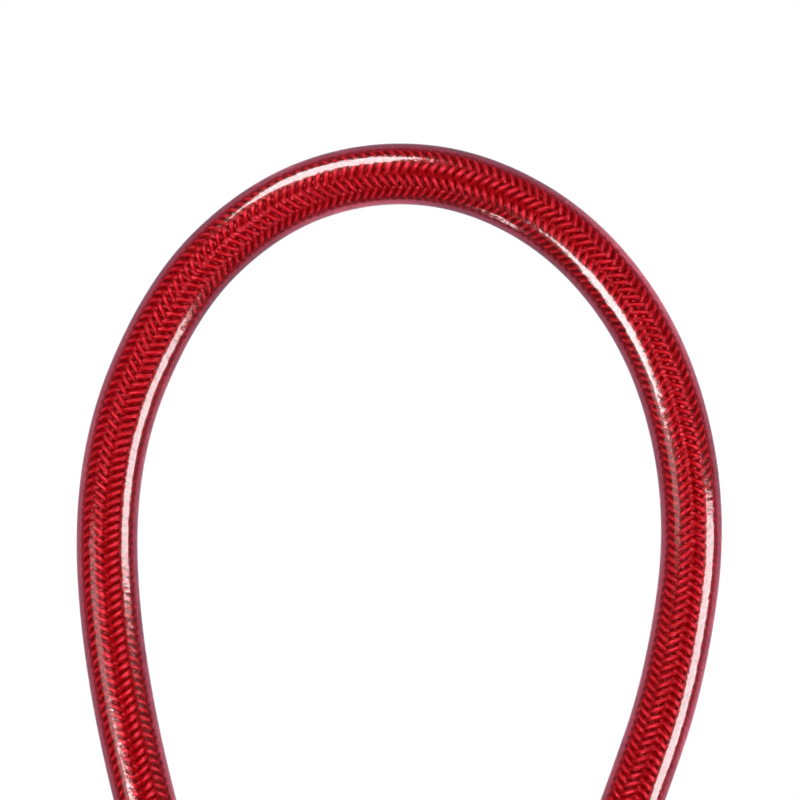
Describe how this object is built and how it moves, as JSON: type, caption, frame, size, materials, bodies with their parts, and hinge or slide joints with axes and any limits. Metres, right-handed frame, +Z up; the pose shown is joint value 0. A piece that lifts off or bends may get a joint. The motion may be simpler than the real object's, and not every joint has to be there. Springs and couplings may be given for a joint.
{
  "type": "cable luggage lock",
  "caption": "Luggage lock with number dials and a side button, whose red braided cable under a clear sheath loops from a fixed collar to a plug.",
  "frame": {"origin": "middle of the flat base that the lock stands on", "axes": "+Z up, towards the cable loop; -Y out of the dials' face; +X towards the release button"},
  "size_m": [0.0366, 0.0148, 0.0875],
  "materials": {
    "case_metal": "satin black powder coat on die-cast zinc",
    "dark_screw": "blackened steel",
    "bezel_metal": "brushed, then anodised graphite",
    "nickel": "bright nickel plating",
    "steel": "turned steel",
    "spring_steel": "blued spring steel",
    "brass": "machined brass",
    "dial_plastic": "fine matt moulding",
    "dial_ink": "white filled digits and marks",
    "clear_red_sheath": "glossy clear red flexible sheath",
    "red_braid": "shiny braided strands, dyed red"
  },
  "bodies": {
    "casing": {"front_casing": "case_metal", "rear_cover": "case_metal", "casing_screws": "dark_screw", "dial_bezel": "bezel_metal", "socket_bush": "nickel", "cable_bush": "nickel", "fixed_ferrule": "steel", "cable_sheath": "clear_red_sheath", "cable_braid": "red_braid", "cable_core": "steel", "latch_leaf": "spring_steel", "click_spring": "spring_steel", "click_rivets": "steel", "ejector_spring": "spring_steel", "spindle_spring": "spring_steel", "reset_spring": "spring_steel", "cylinder_housing": "brass"},
    "dial_one": {"dial_1": "dial_plastic", "sleeve_1": "brass"},
    "dial_two": {"dial_2": "dial_plastic", "sleeve_2": "brass"},
    "dial_three": {"dial_3": "dial_plastic", "sleeve_3": "brass"},
    "button": {"spindle": "steel", "spring_cup": "steel", "release_button": "nickel"},
    "plug": {"plug_pin": "steel", "plug_ferrule": "nickel"},
    "key_cylinder": {"key_rotor": "brass", "wafers": "brass", "retaining_clip": "spring_steel", "key_cam": "steel"},
    "reset": {"reset_pin": "steel", "reset_comb": "steel"}
  },
  "joints": [
    {"name": "dial_one_turn", "type": "hinge", "parent": "casing", "child": "dial_one", "pos_m": [-0.0069, -0.0016, 0.018], "axis": [1, 0, 0], "continuous": true, "deforming": ["click_spring"]},
    {"name": "dial_two_turn", "type": "hinge", "parent": "casing", "child": "dial_two", "pos_m": [-0.0015, -0.0016, 0.018], "axis": [1, 0, 0], "continuous": true},
    {"name": "dial_three_turn", "type": "hinge", "parent": "casing", "child": "dial_three", "pos_m": [0.0039, -0.0016, 0.018], "axis": [1, 0, 0], "continuous": true},
    {"name": "button_press", "type": "slide", "parent": "casing", "child": "button", "axis": [-1, 0, 0], "range_m": [0, 0.0022], "stiffness_N_per_m": 600, "springref_m": -0.003, "deforming": ["spindle_spring"]},
    {"name": "plug_pull", "type": "slide", "parent": "casing", "child": "plug", "axis": [0, 0, 1], "range_m": [0, 0.0145], "deforming": ["cable_sheath", "cable_braid", "cable_core", "latch_leaf", "ejector_spring"]},
    {"name": "key_turn", "type": "hinge", "parent": "casing", "child": "key_cylinder", "pos_m": [0.012, 0, 0.006], "axis": [0, 0, 1], "range_deg": [0, 90]},
    {"name": "reset_push", "type": "slide", "parent": "casing", "child": "reset", "axis": [0, 0, 1], "range_m": [0, 0.0014], "stiffness_N_per_m": 400, "springref_m": -0.002, "deforming": ["reset_spring"]}
  ]
}
